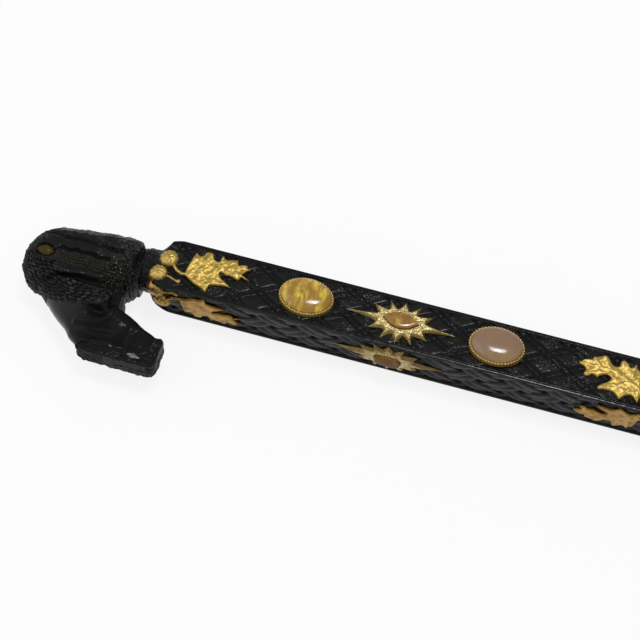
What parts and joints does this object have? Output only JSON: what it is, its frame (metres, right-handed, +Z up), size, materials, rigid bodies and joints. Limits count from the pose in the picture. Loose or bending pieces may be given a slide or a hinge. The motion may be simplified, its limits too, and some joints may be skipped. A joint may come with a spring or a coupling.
{
  "type": "carved walking stick",
  "caption": "Black carved walking stick on its side, with a scaly head and hooked grip, a square block with gilt oak leaves, starbursts and oval stones, and a rubber tip.",
  "frame": {"origin": "centre of the bounding box, on the ground that the stick lies on", "axes": "+X along the shaft from the handle to the tip, +Z up out of the face with the oval stones, -Y towards the side that the grip points to"},
  "size_m": [0.914, 0.0686, 0.0353],
  "materials": {
    "black_lacquer": "satin black lacquer",
    "gilt": "hammered gilt",
    "pale_gilt": "grainy pale gilt",
    "honey_stone": "polished, translucent",
    "rose_stone": "polished, translucent",
    "amber_stone": "polished, translucent",
    "steel": "plain",
    "rubber": "matt"
  },
  "bodies": {
    "root": {"bezel_head": "gilt", "bezel_tip": "gilt", "cabochon_head": "honey_stone", "cabochon_tip": "rose_stone", "eye_lower": "amber_stone", "eye_upper": "amber_stone", "far_head_acorn_1": "gilt", "far_head_acorn_2": "gilt", "far_head_leaf": "gilt", "far_star": "pale_gilt", "far_star_stone": "amber_stone", "far_tip_acorn_1": "gilt", "far_tip_acorn_2": "gilt", "far_tip_leaf": "gilt", "ferrule": "rubber", "ferrule_washer": "steel", "handle": "black_lacquer", "handle_stud": "steel", "near_head_acorn_1": "gilt", "near_head_acorn_2": "gilt", "near_head_leaf": "gilt", "near_star": "pale_gilt", "near_star_stone": "amber_stone", "near_tip_acorn_1": "gilt", "near_tip_acorn_2": "gilt", "near_tip_leaf": "gilt", "shaft": "black_lacquer", "top_head_acorn_1": "gilt", "top_head_acorn_2": "gilt", "top_head_leaf": "gilt", "top_star": "pale_gilt", "top_star_stone": "amber_stone", "top_tip_acorn_1": "gilt", "top_tip_acorn_2": "gilt", "top_tip_leaf": "gilt", "under_head_acorn_1": "gilt", "under_head_acorn_2": "gilt", "under_head_leaf": "gilt", "under_star": "pale_gilt", "under_star_stone": "amber_stone", "under_tip_acorn_1": "gilt", "under_tip_acorn_2": "gilt", "under_tip_leaf": "gilt"}
  },
  "joints": []
}
